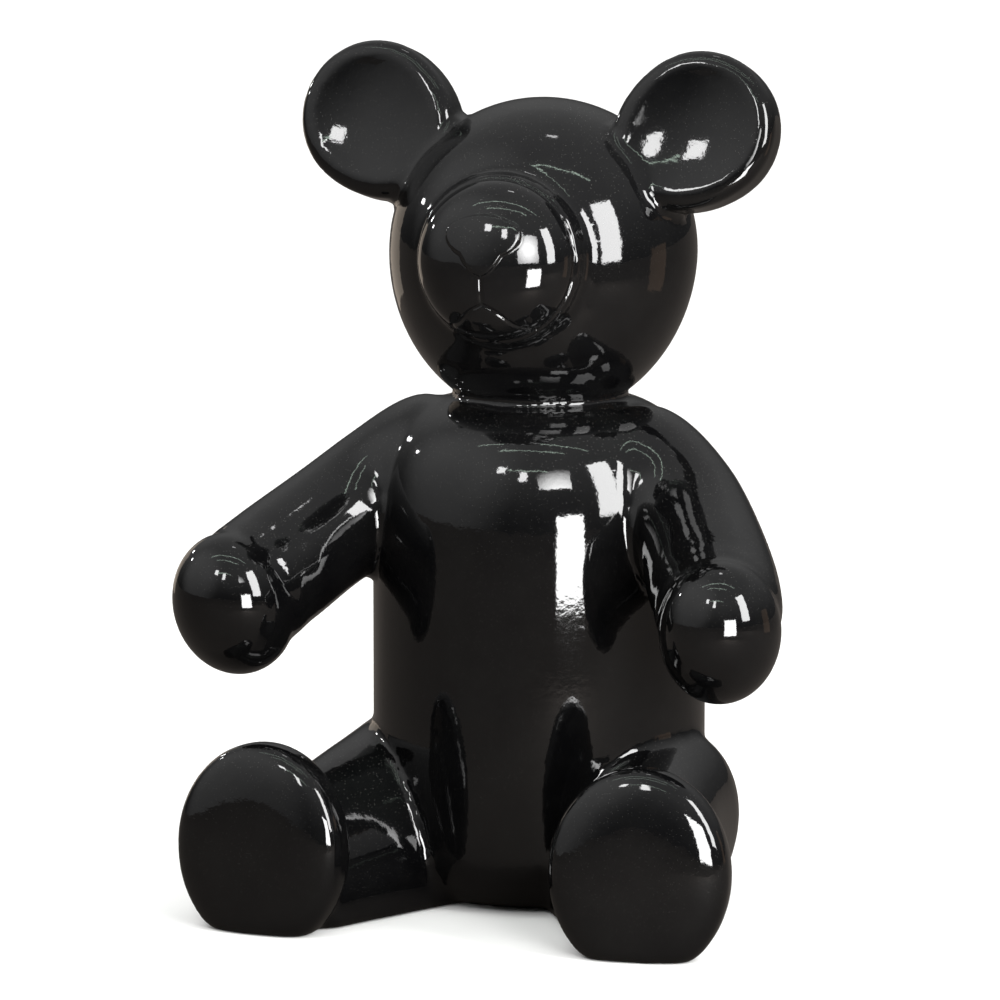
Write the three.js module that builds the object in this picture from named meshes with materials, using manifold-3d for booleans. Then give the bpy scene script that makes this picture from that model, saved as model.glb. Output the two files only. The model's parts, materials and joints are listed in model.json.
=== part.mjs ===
// A seated teddy bear cast in resin, as one closed solid.
// Millimetres, +Z up, the bear faces -Y and its left side is at +X.
// The origin is on the ground, at the middle of the torso's flat underside.

import * as THREE from 'three';
import { mergeVertices } from 'three/addons/utils/BufferGeometryUtils.js';
import Module from 'manifold-3d';

// Driving dimension: the ground to the top of the ears. The figure's forms are shares of it.
const height = 600;

// Torso: a round barrel with a domed top and a rounded under edge.
const torsoRadius = 0.1964 * height;
const torsoTop = 0.5932 * height;
const torsoShoulder = 0.365 * height;
const torsoUnderRound = 0.0691 * height;
const torsoDomePower = 3.6;

// Head: an egg that leans back in degrees, its chin sunk into the top of the torso.
const headRadius = 0.1815 * height;
const headDepth = 0.1787 * height;
const headCrown = 0.1783 * height;
const headChin = 0.2018 * height;
const headTilt = 18;
const headForward = -0.015 * height;
const chinSink = 0.0354 * height;
const headHeight = torsoTop + headChin - chinSink;

// Muzzle: a short round drum on the front of the head, closed by a deep dome.
const muzzleRadius = 0.103 * height;
const muzzleTaper = 0.005 * height;
const muzzleWall = 0.0282 * height;
const muzzleDome = 0.0647 * height;
const muzzleEdge = 0.005 * height;
const muzzleRise = 0.0059 * height;
const muzzleSeat = 0.1443 * height;
const muzzleTilt = 5;

// Nose: a rounded triangle, apex down, raised on the dome.
const noseHalfWidth = 0.0457 * height;
const noseShoulder = 0.0302 * height;
const noseTop = 0.0557 * height;
const noseApex = -0.0115 * height;
const noseRise = 0.005 * height;

// Mouth: a groove down from the nose that parts into two arcs.
const mouthFork = -0.0492 * height;
const mouthSpread = 0.0512 * height;
const mouthDrop = 0.0282 * height;
const grooveRadius = 0.0036 * height;

// Ears: thick round discs drawn out towards the head, their faces dished inside a rounded rim.
const earRadius = 0.0897 * height;
const earThickness = 0.0848 * height;
const earRim = 0.017 * height;
const earDish = 0.008 * height;
const earRoot = 0.23;
const earSpread = 0.1984 * height;
const earRise = 0.1468 * height;
const earForward = 0.0052 * height;
const earTurn = 2.18;
const earTilt = 14.6;

// Arms: each leaves the shoulder and bends forward at the elbow to a cuff around an egg-shaped paw.
const shoulderInset = 0.057 * height;
const shoulderDrop = 0.0919 * height;
const shoulderRadius = 0.1611 * height;
const elbowOut = 0.188 * height;
const elbowForward = 0.0537 * height;
const elbowDrop = 0.132 * height;
const elbowRadius = 0.0825 * height;
const wristOut = 0.2671 * height;
const wristForward = 0.1736 * height;
const wristDrop = 0.1954 * height;
const wristRadius = 0.0752 * height;
const cuffWidth = 0.0718 * height;
const cuffDepth = 0.0852 * height;
const cuffReach = 0.0268 * height;
const pawOut = 0.2939 * height;
const pawForward = 0.2422 * height;
const pawDrop = 0.2288 * height;
const pawWidth = 0.0701 * height;
const pawDepth = 0.0869 * height;
const pawLength = 0.0734 * height;

// Legs: each lies on the ground from the hip to the ankle behind a tall round foot. Its sections are
// ovals whose middles stand at the rise, and the lean carries them outwards with height.
const hipOut = 0.0731 * height;
const hipBack = 0.0975 * height;
const hipRise = 0.0741 * height;
const hipWidth = 0.1443 * height;
const hipTop = 0.229 * height;
const ankleOut = 0.2057 * height;
const ankleForward = 0.3169 * height;
const ankleRise = 0.0444 * height;
const ankleWidth = 0.0584 * height;
const ankleTop = 0.1493 * height;
const legLean = 0.2;
const footOut = 0.2272 * height;
const footForward = 0.331 * height;
const footHeight = 0.0977 * height;
const footHalfWidth = 0.1044 * height;
const footHalfHeight = 0.1218 * height;
const footThickness = 0.0769 * height;
const footTurn = 7;
const footTilt = 3;

// Fineness of the facets: faces around and along each form.
const around = { torso: 36, head: 40, muzzle: 40, ear: 26, limb: 22, paw: 20, foot: 28, groove: 6 };
const along = { torso: 10, head: 18, dome: 8, limb: 13, paw: 12, leg: 10, edge: 5, groove: 5 };

const lacquer = { color: 0x0b0b0c, roughness: 0.06, metalness: 0 };

const wasm = await Module();
wasm.setup();

// A closed three.js geometry as a solid: shared corners merged, collapsed pole triangles dropped.
function solidOf(geometry, matrix = new THREE.Matrix4()) {
  const bare = new THREE.BufferGeometry();
  bare.setAttribute('position', geometry.getAttribute('position').clone());
  if (geometry.index) bare.setIndex(geometry.index.clone());
  bare.applyMatrix4(matrix);
  const merged = mergeVertices(bare, 1e-3);
  const index = merged.index.array;
  const kept = [];
  for (let i = 0; i < index.length; i += 3) {
    const [a, b, c] = index.slice(i, i + 3);
    if (a !== b && b !== c && c !== a) kept.push(a, b, c);
  }
  return new wasm.Manifold(new wasm.Mesh({
    numProp: 3,
    vertProperties: new Float32Array(merged.getAttribute('position').array),
    triVerts: new Uint32Array(kept),
  }));
}

// Places a form whose axis is local +Z: its axis turned to `axis`, its origin moved to `place`.
function placed(place, axis) {
  const z = axis.clone().normalize();
  const x = new THREE.Vector3(0, 0, 1).cross(z).normalize();
  const y = z.clone().cross(x);
  return new THREE.Matrix4().makeBasis(x, y, z).setPosition(place);
}

// The direction `turn` degrees to the side and `tilt` degrees up from straight forward.
function facing(side, turn, tilt) {
  const a = THREE.MathUtils.degToRad(turn);
  const b = THREE.MathUtils.degToRad(tilt);
  return new THREE.Vector3(side * Math.sin(a) * Math.cos(b), -Math.cos(a) * Math.cos(b), Math.sin(b));
}

// A form turned about local +Z from [radius, height] pairs, listed from the bottom up.
function turned(profile, segments) {
  const points = profile.map(([r, h]) => new THREE.Vector2(r, h));
  return new THREE.LatheGeometry(points, segments).rotateX(Math.PI / 2);
}

// Pairs along a quarter of a superellipse: radius falls from `r` to 0 while height rises by `rise`.
function quarter(r, base, rise, power, steps) {
  const pairs = [];
  for (let i = 0; i <= steps; i += 1) {
    const t = (i / steps) * Math.PI / 2;
    const radius = i === steps ? 0 : r * Math.cos(t) ** (2 / power);
    pairs.push([radius, base + rise * Math.sin(t) ** (2 / power)]);
  }
  return pairs;
}

function torsoGeometry() {
  const profile = [[0, 0]];
  for (let i = 0; i <= along.edge; i += 1) {
    const t = (i / along.edge) * Math.PI / 2;
    profile.push([
      torsoRadius - torsoUnderRound * (1 - Math.sin(t)),
      torsoUnderRound * (1 - Math.cos(t)),
    ]);
  }
  const dome = quarter(torsoRadius, torsoShoulder, torsoTop - torsoShoulder, torsoDomePower, along.torso);
  return turned(profile.concat(dome), around.torso);
}

const headCentre = new THREE.Vector3(0, -headForward, headHeight);

function headGeometry() {
  const egg = new THREE.SphereGeometry(1, around.head, along.head).rotateX(Math.PI / 2);
  const position = egg.getAttribute('position');
  for (let i = 0; i < position.count; i += 1) {
    const z = position.getZ(i);
    position.setXYZ(
      i,
      position.getX(i) * headRadius,
      position.getY(i) * headDepth,
      z * (z > 0 ? headCrown : headChin),
    );
  }
  egg.rotateX(-THREE.MathUtils.degToRad(headTilt));
  return egg.translate(headCentre.x, headCentre.y, headCentre.z);
}

// The muzzle stands on the head's front. Local +Z runs out of it, +X to the bear's left, +Y up.
const muzzleAxis = facing(1, 0, muzzleTilt);
const muzzlePlace = headCentre.clone().add(new THREE.Vector3(0, -muzzleSeat, muzzleRise));
const muzzleFrame = placed(muzzlePlace, muzzleAxis);
const domeRadius = muzzleRadius - muzzleTaper - muzzleEdge;
const domeBase = muzzleWall + muzzleEdge;

// The muzzle's form, grown outwards by `grow`.
function muzzleGeometry(grow) {
  const root = -muzzleSeat / 2;
  const profile = [[0, root], [muzzleRadius + grow, root], [muzzleRadius + grow, 0]];
  profile.push([muzzleRadius - muzzleTaper + grow, muzzleWall]);
  const dome = quarter(domeRadius + grow, domeBase, muzzleDome - muzzleEdge + grow, 2, along.dome);
  return turned(profile.concat(dome), around.muzzle);
}

// Height of the dome over the local point (side, up).
function domeHeight(side, up) {
  const share = 1 - (side * side + up * up) / (domeRadius * domeRadius);
  return domeBase + (muzzleDome - muzzleEdge) * Math.sqrt(Math.max(share, 0));
}

// The nose stands out of the dome where its outline, pushed forward, meets the grown muzzle.
function noseSolid() {
  const outline = new THREE.Shape();
  outline.moveTo(0, noseApex);
  outline.quadraticCurveTo(noseHalfWidth * 0.25, noseApex, noseHalfWidth * 0.55, noseShoulder * 0.35);
  outline.bezierCurveTo(
    noseHalfWidth * 1.15, noseShoulder * 0.95,
    noseHalfWidth * 1.1, noseTop * 0.8,
    noseHalfWidth * 0.6, noseTop * 0.9,
  );
  outline.quadraticCurveTo(0, noseTop * 1.1, -noseHalfWidth * 0.6, noseTop * 0.9);
  outline.bezierCurveTo(
    -noseHalfWidth * 1.1, noseTop * 0.8,
    -noseHalfWidth * 1.15, noseShoulder * 0.95,
    -noseHalfWidth * 0.55, noseShoulder * 0.35,
  );
  outline.quadraticCurveTo(-noseHalfWidth * 0.25, noseApex, 0, noseApex);
  const reach = { depth: muzzleSeat, bevelEnabled: false, curveSegments: along.groove };
  const column = solidOf(new THREE.ExtrudeGeometry(outline, reach), muzzleFrame);
  return column.intersect(solidOf(muzzleGeometry(noseRise), muzzleFrame));
}

// A round groove cutter along points given as [side, up] on the muzzle.
function groove(points, steps) {
  const path = new THREE.CatmullRomCurve3(
    points.map(([side, up]) => new THREE.Vector3(side, up, domeHeight(side, up))),
  );
  const section = new THREE.Shape();
  section.absarc(0, 0, grooveRadius, 0, 2 * Math.PI);
  const sweep = { extrudePath: path, steps, curveSegments: around.groove, bevelEnabled: false };
  return solidOf(new THREE.ExtrudeGeometry(section, sweep), muzzleFrame);
}

function mouthSolid() {
  const arc = (side) => [
    [0, mouthFork],
    [side * mouthSpread * 0.32, mouthFork - mouthDrop * 0.32],
    [side * mouthSpread * 0.68, mouthFork - mouthDrop * 0.84],
    [side * mouthSpread, mouthFork - mouthDrop],
  ];
  const stem = groove([[0, noseApex], [0, (noseApex + mouthFork) / 2], [0, mouthFork]], 5);
  return stem.add(groove(arc(1), along.groove * 2)).add(groove(arc(-1), along.groove * 2));
}

function earGeometry(side) {
  const half = earThickness / 2;
  const back = quarter(earRadius, 0, half, 2.6, along.edge).reverse().map(([r, h]) => [r, -h]);
  const rim = [];
  for (let i = 1; i <= along.edge; i += 1) {
    const t = (i / along.edge) * Math.PI * 0.62;
    rim.push([earRadius - earRim * (1 - Math.cos(t)), half - earRim * (1 - Math.sin(t))]);
  }
  const [lipRadius, lipHeight] = rim[rim.length - 1];
  const dish = [0.66, 0.33, 0].map((share) => [
    lipRadius * share,
    lipHeight - earDish * (1 - share * share),
  ]);
  const form = turned(back.concat(rim, dish), around.ear);
  const position = form.getAttribute('position');
  const root = new THREE.Vector2(-side * earSpread, -earRise).normalize();
  for (let i = 0; i < position.count; i += 1) {
    const x = position.getX(i);
    const y = position.getY(i);
    const reach = Math.max(root.x * x + root.y * y, 0) * earRoot;
    position.setXY(i, x + root.x * reach, y + root.y * reach);
  }
  return form;
}

function earSolid(side) {
  const place = headCentre.clone().add(new THREE.Vector3(side * earSpread, -earForward, earRise));
  return solidOf(earGeometry(side), placed(place, facing(side, earTurn, earTilt)));
}

// A limb along stations {place, wide, tall}: oval sections of those half sizes, sideways and
// upwards, both ends closed by rounds.
function limbGeometry(stations, endRound, steps) {
  const path = new THREE.CatmullRomCurve3(stations.map((s) => s.place));
  const sizes = new THREE.SplineCurve(stations.map((s) => new THREE.Vector2(s.wide, s.tall)));
  const length = path.getLength();
  const first = stations[0].wide;
  const last = stations[stations.length - 1].wide * endRound;
  const form = new THREE.SphereGeometry(1, around.limb, steps).rotateX(Math.PI / 2);
  const position = form.getAttribute('position');
  const up = new THREE.Vector3(0, 0, 1);
  for (let i = 0; i < position.count; i += 1) {
    const t = THREE.MathUtils.clamp((1 - position.getZ(i)) / 2, 0, 1);
    const turn = Math.atan2(position.getY(i), position.getX(i));
    const pole = Math.hypot(position.getX(i), position.getY(i)) < 1e-6;
    const along01 = path.getUtoTmapping(t);
    const start = Math.max(0, 1 - (t * length) / first);
    const end = Math.max(0, 1 - ((1 - t) * length) / last);
    const cap = pole ? 0 : Math.sqrt(Math.max(0, 1 - start * start) * Math.max(0, 1 - end * end));
    const size = sizes.getPoint(along01);
    const tangent = path.getTangent(along01);
    const side = tangent.clone().cross(up).normalize();
    const lift = side.clone().cross(tangent);
    const point = path.getPoint(along01)
      .addScaledVector(side, Math.cos(turn) * size.x * cap)
      .addScaledVector(lift, Math.sin(turn) * size.y * cap);
    position.setXYZ(i, point.x, point.y, point.z);
  }
  return form;
}

function wristPlace(side) {
  return new THREE.Vector3(side * wristOut, -wristForward, torsoTop - wristDrop);
}

function pawPlace(side) {
  return new THREE.Vector3(side * pawOut, -pawForward, torsoTop - pawDrop);
}

// The direction in which the forearm runs into the paw.
function pawAxis(side) {
  return pawPlace(side).sub(wristPlace(side)).normalize();
}

function armSolid(side) {
  const shoulder = new THREE.Vector3(side * shoulderInset, 0, torsoTop - shoulderDrop);
  const elbow = new THREE.Vector3(side * elbowOut, -elbowForward, torsoTop - elbowDrop);
  const cuff = pawPlace(side).addScaledVector(pawAxis(side), cuffReach);
  const stations = [
    { place: shoulder, wide: shoulderRadius, tall: shoulderRadius },
    { place: elbow, wide: elbowRadius, tall: elbowRadius },
    { place: wristPlace(side), wide: wristRadius, tall: wristRadius },
    { place: cuff, wide: cuffWidth, tall: cuffDepth },
  ];
  return solidOf(limbGeometry(stations, 1, along.limb));
}

// The paw is an egg on the end of the arm, upright across it.
function pawSolid(side) {
  const egg = new THREE.SphereGeometry(1, around.paw, along.paw).scale(pawWidth, pawDepth, pawLength);
  return solidOf(egg, placed(pawPlace(side), pawAxis(side)));
}

function legSolid(side) {
  const hip = new THREE.Vector3(side * hipOut, hipBack, hipRise);
  const ankle = new THREE.Vector3(side * ankleOut, -ankleForward, ankleRise);
  const hipTall = hipTop - hipRise;
  const ankleTall = ankleTop - ankleRise;
  const stations = [
    { place: hip, wide: hipWidth, tall: hipTall },
    { place: hip.clone().lerp(ankle, 0.5), wide: (hipWidth + ankleWidth) / 2, tall: (hipTall + ankleTall) / 2 },
    { place: ankle, wide: ankleWidth, tall: ankleTall },
  ];
  const lean = new THREE.Matrix4().makeShear(0, 0, 0, 0, side * legLean, 0);
  return solidOf(limbGeometry(stations, 0.5, along.leg), lean);
}

function footSolid(side) {
  const half = footThickness / 2;
  const sole = quarter(1, 0, half, 3.4, along.edge + 1);
  const heel = sole.map(([r, h]) => [r, -h]).reverse();
  heel.pop();
  const form = turned(heel.concat(sole), around.foot).scale(footHalfWidth, footHalfHeight, 1);
  const place = new THREE.Vector3(side * footOut, -footForward, footHeight);
  return solidOf(form, placed(place, facing(side, footTurn, footTilt)));
}

// Everything above the ground, as a box wider than the figure.
function aboveGround() {
  const box = new THREE.BoxGeometry(2 * height, 2 * height, 2 * height);
  return solidOf(box.translate(0, 0, height));
}

function bearSolid() {
  let solid = solidOf(torsoGeometry()).add(solidOf(headGeometry()));
  solid = solid.add(solidOf(muzzleGeometry(0), muzzleFrame)).subtract(mouthSolid()).add(noseSolid());
  for (const side of [1, -1]) {
    solid = solid.add(earSolid(side)).add(armSolid(side)).add(pawSolid(side));
    solid = solid.add(legSolid(side)).add(footSolid(side));
  }
  return solid.intersect(aboveGround());
}

function meshOf(name, solid, material) {
  const { vertProperties, triVerts } = solid.getMesh();
  const geometry = new THREE.BufferGeometry();
  geometry.setAttribute('position', new THREE.BufferAttribute(new Float32Array(vertProperties), 3));
  geometry.setIndex(new THREE.BufferAttribute(new Uint32Array(triVerts), 1));
  geometry.computeVertexNormals();
  const mesh = new THREE.Mesh(geometry, new THREE.MeshStandardMaterial(material));
  mesh.name = name;
  return mesh;
}

const sculpture = new THREE.Group();
sculpture.add(meshOf('bear', bearSolid(), lacquer));

export default sculpture;
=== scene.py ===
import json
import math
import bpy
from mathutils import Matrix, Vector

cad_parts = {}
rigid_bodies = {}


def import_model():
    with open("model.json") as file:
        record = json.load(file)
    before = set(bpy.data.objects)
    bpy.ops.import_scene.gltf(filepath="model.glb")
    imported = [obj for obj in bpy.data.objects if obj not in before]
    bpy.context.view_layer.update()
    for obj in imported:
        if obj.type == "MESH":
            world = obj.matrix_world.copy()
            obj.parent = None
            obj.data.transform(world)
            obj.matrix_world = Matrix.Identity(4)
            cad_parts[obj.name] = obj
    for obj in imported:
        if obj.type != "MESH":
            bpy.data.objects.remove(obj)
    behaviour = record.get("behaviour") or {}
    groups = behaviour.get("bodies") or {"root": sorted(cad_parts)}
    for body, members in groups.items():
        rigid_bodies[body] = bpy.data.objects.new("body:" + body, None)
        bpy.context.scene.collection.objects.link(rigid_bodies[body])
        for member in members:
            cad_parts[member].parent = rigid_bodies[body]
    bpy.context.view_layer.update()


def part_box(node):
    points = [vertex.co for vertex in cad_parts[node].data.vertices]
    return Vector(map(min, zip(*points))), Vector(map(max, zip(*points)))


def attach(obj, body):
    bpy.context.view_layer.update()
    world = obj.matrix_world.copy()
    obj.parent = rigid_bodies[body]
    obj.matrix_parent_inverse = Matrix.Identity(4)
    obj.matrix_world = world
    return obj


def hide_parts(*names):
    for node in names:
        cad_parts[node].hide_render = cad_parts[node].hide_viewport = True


bl_info = {
    "name": "Resin Bear",
    "version": (1, 0, 0),
    "blender": (4, 5, 0),
    "location": "3D View > Sidebar > Resin Bear",
    "description": "Models a seated bear cast in glossy black resin, its lacquer and a plain studio",
    "category": "Add Mesh",
}

import bmesh
import bpy
import numpy as np
from bpy.props import FloatProperty, FloatVectorProperty, IntProperty, PointerProperty
from mathutils import Matrix, Vector
from mathutils.bvhtree import BVHTree

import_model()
NODE = "bear"
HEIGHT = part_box(NODE)[1][2]
FORM = "form_"
CASTING = "bear_casting"
TUBE_TINT = (0.8, 1, 0.84)
BOARD_TINT = (0.8, 0.53, 0.36)
WALL_TINT = (1, 0.85, 0.7)
TOWARDS_WALL = (-0.7, -0.54, 0.47)
SENSOR = 36


def share(part, name, description):
    """A length whose default is a share of the figure's height."""
    return FloatProperty(
        name=name, description=description, default=part * HEIGHT, unit="LENGTH", precision=4
    )


def angle(degrees, name, description):
    return FloatProperty(
        name=name, description=description, default=math.radians(degrees), subtype="ANGLE"
    )


def factor(value, name, description, low=0.0, high=1.0):
    return FloatProperty(name=name, description=description, default=value, min=low, max=high)


def colour(value, name, description):
    return FloatVectorProperty(
        name=name, description=description, default=value, size=3, subtype="COLOR", min=0, max=1
    )


class BearTrunkSizes(bpy.types.PropertyGroup):
    torso_radius: share(0.1964, "Torso radius", "Half the width of the barrel")
    torso_top: share(0.5932, "Torso top", "Top of the torso's dome above the ground")
    torso_shoulder: share(0.365, "Torso shoulder", "Height where the barrel turns into the dome")
    torso_under: share(0.0691, "Torso under edge", "Rounding of the torso's under edge")
    torso_power: factor(3.6, "Torso fullness", "Fullness of the torso's dome", 1.5, 6)
    head_radius: share(0.1815, "Head radius", "Half the width of the head")
    head_depth: share(0.1787, "Head depth", "Half the depth of the head")
    head_crown: share(0.1783, "Crown", "From the head's middle up to the crown")
    head_chin: share(0.2018, "Chin", "From the head's middle down to the chin")
    head_tilt: angle(18, "Head tilt", "How far the head leans back")
    head_forward: share(-0.015, "Head forward", "How far the head stands in front of the torso")
    chin_sink: share(0.0354, "Chin sink", "How deep the chin sits in the torso")


class BearMuzzleSizes(bpy.types.PropertyGroup):
    radius: share(0.103, "Muzzle radius", "Half the width of the muzzle at its root")
    taper: share(0.005, "Wall taper", "How much the muzzle's wall narrows")
    wall: share(0.0282, "Wall", "Length of the muzzle's wall")
    dome: share(0.0647, "Dome", "Depth of the muzzle's domed front")
    edge: share(0.005, "Edge", "Rounding between the wall and the dome")
    rise: share(0.0059, "Rise", "How far the muzzle sits above the head's middle")
    seat: share(0.1443, "Seat", "How far the muzzle's root lies in front of the head's middle")
    tilt: angle(5, "Tilt", "How far the muzzle looks up")
    nose_half: share(0.0457, "Nose half width", "Half the width of the nose")
    nose_shoulder: share(0.0205, "Nose shoulder", "Height of the nose's side corners")
    nose_top: share(0.0535, "Nose top", "Height of the nose's upper edge")
    nose_apex: share(-0.0165, "Nose apex", "Height of the nose's lower point")
    nose_rise: share(0.005, "Nose rise", "How far the nose stands out")
    mouth_fork: share(-0.0492, "Mouth fork", "Height where the mouth parts into two arcs")
    mouth_spread: share(0.0512, "Mouth spread", "Width of each arc of the mouth")
    mouth_drop: share(0.0282, "Mouth drop", "How far each arc falls")
    groove: share(0.0036, "Groove", "Half the width of the mouth's grooves")


class BearEarSizes(bpy.types.PropertyGroup):
    radius: share(0.0897, "Ear radius", "Radius of each ear")
    thickness: share(0.0848, "Ear thickness", "Thickness of each ear")
    rim: share(0.017, "Ear rim", "Radius of the ear's rounded rim")
    dish: share(0.008, "Ear dish", "Depth of the hollow in the ear's face")
    root: factor(0.23, "Ear root", "How far the ear is drawn out towards the head")
    spread: share(0.1984, "Ear spread", "From the head's middle to the ear's, sideways")
    rise: share(0.1468, "Ear rise", "From the head's middle to the ear's, upwards")
    forward: share(0.0052, "Ear forward", "How far the ears stand in front of the head's middle")
    turn: angle(2.18, "Ear turn", "How far each ear looks outwards")
    tilt: angle(14.6, "Ear tilt", "How far each ear looks up")


class BearArmSizes(bpy.types.PropertyGroup):
    shoulder_out: share(0.057, "Shoulder out", "From the middle to the shoulder")
    shoulder_drop: share(0.0919, "Shoulder drop", "From the torso's top down to the shoulder")
    shoulder_radius: share(0.1611, "Shoulder radius", "Radius of the arm at the shoulder")
    elbow_out: share(0.188, "Elbow out", "From the middle to the elbow")
    elbow_forward: share(0.0537, "Elbow forward", "How far the elbow stands forward")
    elbow_drop: share(0.132, "Elbow drop", "From the torso's top down to the elbow")
    elbow_radius: share(0.0825, "Elbow radius", "Radius of the arm at the elbow")
    wrist_out: share(0.2671, "Wrist out", "From the middle to the wrist")
    wrist_forward: share(0.1736, "Wrist forward", "How far the wrist stands forward")
    wrist_drop: share(0.1954, "Wrist drop", "From the torso's top down to the wrist")
    wrist_radius: share(0.0752, "Wrist radius", "Radius of the arm at the wrist")
    cuff_width: share(0.0718, "Cuff width", "Half the width of the forearm's end")
    cuff_depth: share(0.0852, "Cuff depth", "Half the height of the forearm's end")
    cuff_reach: share(0.0268, "Cuff reach", "How far the forearm runs past the paw's middle")
    paw_out: share(0.2939, "Paw out", "From the middle to the paw's middle")
    paw_forward: share(0.2422, "Paw forward", "How far the paw's middle stands forward")
    paw_drop: share(0.2288, "Paw drop", "From the torso's top down to the paw's middle")
    paw_width: share(0.0701, "Paw width", "Half the width of the paw")
    paw_depth: share(0.0869, "Paw depth", "Half the height of the paw")
    paw_length: share(0.0734, "Paw length", "Half the length of the paw")


class BearLegSizes(bpy.types.PropertyGroup):
    hip_out: share(0.0731, "Hip out", "From the middle to the hip")
    hip_back: share(0.0975, "Hip back", "How far the hip lies behind the middle")
    hip_rise: share(0.0741, "Hip rise", "Height of the leg's middle at the hip")
    hip_width: share(0.1443, "Hip width", "Half the width of the leg at the hip")
    hip_top: share(0.229, "Hip top", "Top of the leg at the hip")
    ankle_out: share(0.2057, "Ankle out", "From the middle to the ankle")
    ankle_forward: share(0.3169, "Ankle forward", "How far the ankle stands forward")
    ankle_rise: share(0.0444, "Ankle rise", "Height of the leg's middle at the ankle")
    ankle_width: share(0.0584, "Ankle width", "Half the width of the leg at the ankle")
    ankle_top: share(0.1493, "Ankle top", "Top of the leg at the ankle")
    lean: factor(0.2, "Lean", "How far the leg is carried outwards with height", -1, 1)
    foot_out: share(0.2272, "Foot out", "From the middle to the foot's middle")
    foot_forward: share(0.331, "Foot forward", "How far the foot's middle stands forward")
    foot_height: share(0.0977, "Foot height", "Height of the foot's middle")
    foot_half_width: share(0.1044, "Foot half width", "Half the width of the foot")
    foot_half_height: share(0.1218, "Foot half height", "Half the height of the foot")
    foot_thickness: share(0.0769, "Foot thickness", "From the heel to the sole")
    foot_turn: angle(7, "Foot turn", "How far each sole looks outwards")
    foot_tilt: angle(3, "Foot tilt", "How far each sole looks up")


class BearSurfaceSizes(bpy.types.PropertyGroup):
    grain: FloatProperty(
        name="Skin grain", description="Edge of the skin's faces", default=0.0039, unit="LENGTH"
    )
    crease_reach: FloatProperty(
        name="Crease reach", description="How far from a crease the skin is rounded",
        default=0.006, unit="LENGTH",
    )
    crease_rounds: IntProperty(
        name="Crease rounding", description="How often the creases are smoothed", default=12
    )
    resin: colour((0.0016, 0.0016, 0.0018), "Resin", "Colour of the black resin")
    bloom: colour((0.006, 0.006, 0.0058), "Bloom", "Colour of the faint bloom in the lacquer")
    dust: colour((0.16, 0.155, 0.145), "Dust", "Colour of the settled dust")
    peel_size: FloatProperty(
        name="Orange peel size", description="Width of the lacquer's ripples", default=0.006,
        unit="LENGTH",
    )
    peel_depth: FloatProperty(
        name="Orange peel depth", description="Depth of the lacquer's ripples", default=0.00006,
        unit="LENGTH", precision=6,
    )
    gloss: factor(0.05, "Roughness", "Roughness of the polished lacquer")


class BearStudioSettings(bpy.types.PropertyGroup):
    camera_turn: angle(18.2, "Camera turn", "How far the camera stands to the bear's left")
    camera_rise: angle(9.5, "Camera rise", "How far the camera looks down")
    camera_reach: FloatProperty(
        name="Camera distance", description="From the camera to the figure",
        default=4.9744, unit="LENGTH",
    )
    camera_side: FloatProperty(
        name="Aim sideways", description="Where the camera aims, sideways",
        default=-0.02786, unit="LENGTH",
    )
    camera_height: FloatProperty(
        name="Aim height", description="Where the camera aims, upwards", default=0.27756, unit="LENGTH"
    )
    frame_width: FloatProperty(
        name="Frame width", description="Width of the view at the figure",
        default=0.70782, unit="LENGTH",
    )
    floor: colour((0.82, 0.82, 0.81), "Floor", "Colour of the pale paper on the floor")
    # Painted shade: every ray but the camera's sees the floor in this colour, far darker than the pale
    # floor, standing in for its shadow and the dim room in the lacquer
    mirrored_floor_shade: colour((0.088, 0.077, 0.069), "Mirrored floor", "Colour the lacquer sees in the floor")
    ceiling: factor(0.48, "Ceiling", "Brightness of the room above", 0, 10)
    horizon: factor(0.09, "Horizon", "Brightness of the room at eye level", 0, 10)
    window: factor(26, "Windows", "Brightness of the tall windows", 0, 200)
    wall: factor(0.42, "Wall", "Brightness of the pale wall on the bear's right", 0, 10)
    tubes: factor(9, "Tubes", "Brightness of the tubes on the ceiling", 0, 100)
    lamp: factor(60, "Lamps", "Brightness of the small lamps", 0, 500)
    fill: factor(3.1, "Fill", "Strength of the soft light from above, not seen in the lacquer", 0, 20)


def settings(name):
    return getattr(bpy.context.scene, "resin_bear_" + name)


def clear_selection():
    if bpy.context.mode != "OBJECT":
        bpy.ops.object.mode_set(mode="OBJECT")
    bpy.ops.object.select_all(action="DESELECT")


def take(*pieces):
    """Selects the pieces, the first of them active."""
    clear_selection()
    for piece in pieces:
        piece.select_set(True)
    bpy.context.view_layer.objects.active = pieces[0]


def open_mesh(piece):
    take(piece)
    bpy.ops.object.mode_set(mode="EDIT")
    bpy.ops.mesh.select_mode(type="VERT")
    bpy.ops.mesh.select_all(action="SELECT")


def close_mesh():
    bpy.ops.object.mode_set(mode="OBJECT")


def pick(piece, test):
    """Selects the corners of the open mesh whose place passes the test."""
    bpy.ops.mesh.select_all(action="DESELECT")
    shape = bmesh.from_edit_mesh(piece.data)
    for corner in shape.verts:
        corner.select = test(corner.co)
    shape.select_flush(True)
    bmesh.update_edit_mesh(piece.data)


def settle(piece):
    """Puts the piece's place, turn and scale into its mesh."""
    take(piece)
    bpy.ops.object.transform_apply(location=True, rotation=True, scale=True)


def press(piece, modifier):
    take(piece)
    bpy.ops.object.modifier_apply(modifier=modifier.name)


def placed(place, axis):
    """The place of a form whose axis is its own +Z."""
    z = axis.normalized()
    x = Vector((0, 0, 1)).cross(z).normalized()
    y = z.cross(x)
    matrix = Matrix((x, y, z)).transposed().to_4x4()
    matrix.translation = place
    return matrix


def facing(side, turn, tilt):
    """The direction turned to one side and tilted up from straight forward."""
    return Vector((
        side * math.sin(turn) * math.cos(tilt),
        -math.cos(turn) * math.cos(tilt),
        math.sin(tilt),
    ))


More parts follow.
